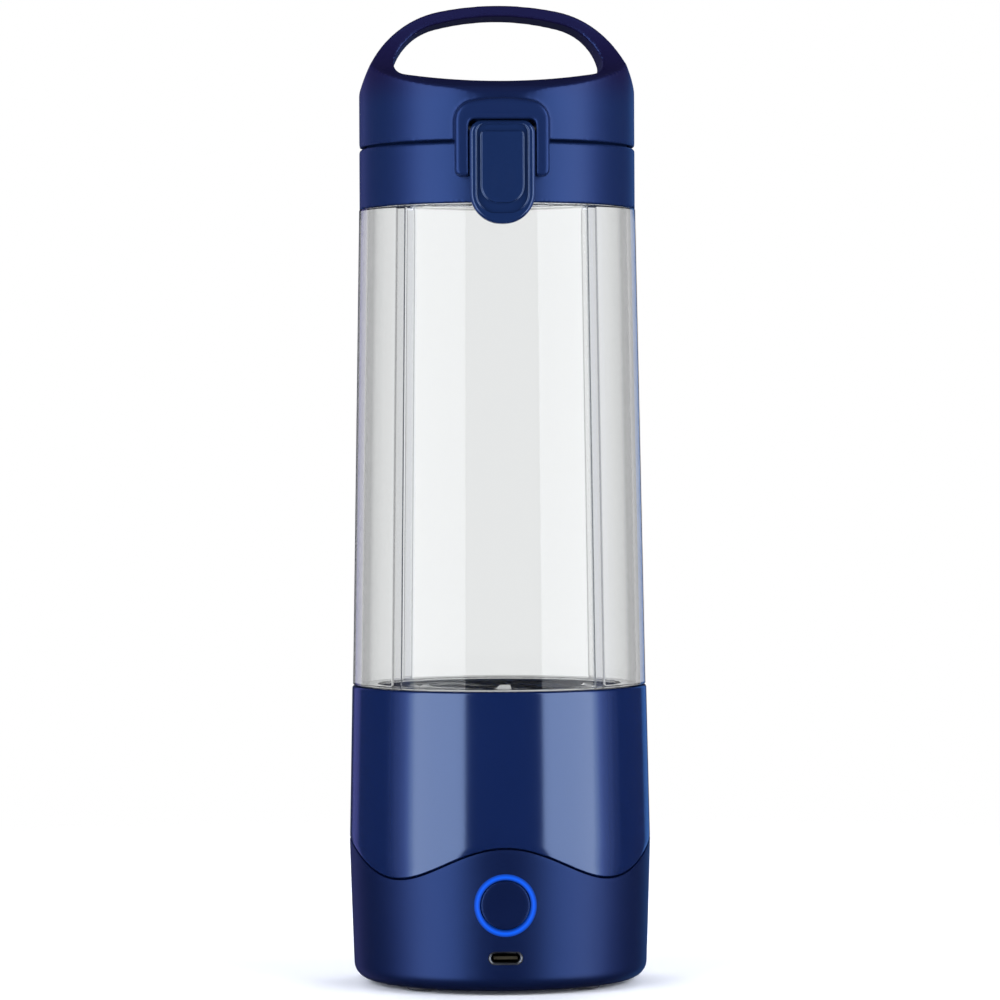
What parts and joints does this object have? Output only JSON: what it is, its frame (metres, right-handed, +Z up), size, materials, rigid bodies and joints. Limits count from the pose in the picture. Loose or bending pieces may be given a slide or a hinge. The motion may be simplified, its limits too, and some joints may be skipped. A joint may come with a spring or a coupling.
{
  "type": "countertop blender",
  "caption": "Cordless personal blender: motor base with a light-ringed button, clear ribbed cup, and a latched flip-top lid with a carry handle.",
  "frame": {"origin": "on the table, at the centre of the base, under the feet", "axes": "+Z up along the cup's axis; -Y towards the front, with the button and the latch; +X to the right seen from the front"},
  "size_m": [0.0888, 0.0934, 0.2875],
  "materials": {
    "navy_gloss": "glossy navy moulding",
    "navy_satin": "satin navy moulding",
    "navy_grip": "soft-touch navy sleeve",
    "foot_rubber": "rubber",
    "screw_steel": "plated steel",
    "blue_light": "translucent light guide, lit blue",
    "black_plastic": "moulded plastic",
    "board_green": "circuit board",
    "bright_steel": "bright steel",
    "cell_wrap": "shrink wrap",
    "foam": "foam",
    "motor_steel": "drawn steel",
    "magnet": "ferrite",
    "blade_steel": "brushed stainless steel",
    "bearing_bronze": "sintered bronze",
    "seal_rubber": "food-grade silicone",
    "clear_cup": "clear copolyester"
  },
  "bodies": {
    "base": {"base_shell": "navy_gloss", "grip_sleeve": "navy_grip", "bottom_cover": "navy_satin", "feet": "foot_rubber", "cover_screws": "screw_steel", "light_ring": "blue_light", "switch_body": "black_plastic", "control_board": "board_green", "usb_socket": "bright_steel", "usb_tongue": "black_plastic", "battery_cell_left": "cell_wrap", "battery_cell_right": "cell_wrap", "battery_cradle": "black_plastic", "cell_pads": "foam", "motor_can": "motor_steel", "motor_end_bell": "black_plastic", "motor_magnets": "magnet", "motor_screws": "screw_steel", "blade_seat": "blade_steel", "bearing_bush": "bearing_bronze", "shaft_seal": "seal_rubber"},
    "button": {"power_button": "navy_grip", "switch_plunger": "black_plastic"},
    "rotor": {"drive_shaft": "bright_steel", "motor_armature": "motor_steel", "blade_lower": "blade_steel", "blade_upper": "blade_steel", "blade_nut": "blade_steel"},
    "cup_seal_ring": {"cup_seal": "seal_rubber"},
    "cup": {"cup": "clear_cup"},
    "collar_seal_ring": {"collar_seal": "seal_rubber"},
    "collar": {"collar": "navy_satin", "hinge_pin": "bright_steel"},
    "cap": {"flip_cap": "navy_satin", "spout_plug": "seal_rubber", "latch_pin": "bright_steel"},
    "latch": {"latch_lever": "navy_satin"}
  },
  "joints": [
    {"name": "button_press", "type": "slide", "parent": "base", "child": "button", "axis": [0, 1, 0], "range_m": [0, 0.0008], "stiffness_N_per_m": 900, "springref_m": -0.0008},
    {"name": "blade_spin", "type": "hinge", "parent": "base", "child": "rotor", "pos_m": [0, 0, 0.0695], "axis": [0, 0, 1], "continuous": true},
    {"name": "cup_rise", "type": "slide", "parent": "base", "child": "cup_seal_ring", "axis": [0, 0, 1], "range_m": [0, 0.024]},
    {"name": "cup_twist", "type": "hinge", "parent": "cup_seal_ring", "child": "cup", "pos_m": [0, 0, 0.0873], "axis": [0, 0, 1], "range_deg": [0, 360]},
    {"name": "lid_rise", "type": "slide", "parent": "cup", "child": "collar_seal_ring", "axis": [0, 0, 1], "range_m": [0, 0.016]},
    {"name": "lid_twist", "type": "hinge", "parent": "collar_seal_ring", "child": "collar", "pos_m": [0, 0, 0.228], "axis": [0, 0, 1], "range_deg": [0, 360]},
    {"name": "cap_flip", "type": "hinge", "parent": "collar", "child": "cap", "pos_m": [0, 0.044, 0.2462], "axis": [-1, 0, 0], "range_deg": [0, 120]},
    {"name": "latch_lift", "type": "hinge", "parent": "cap", "child": "latch", "pos_m": [0, -0.0441, 0.2489], "axis": [-1, 0, 0], "range_deg": [0, 45]}
  ],
  "couplings": [
    {"joint": "cup_rise", "follows": "cup_twist", "m_per_rad": 0.003819},
    {"joint": "lid_rise", "follows": "lid_twist", "m_per_rad": 0.002546}
  ]
}
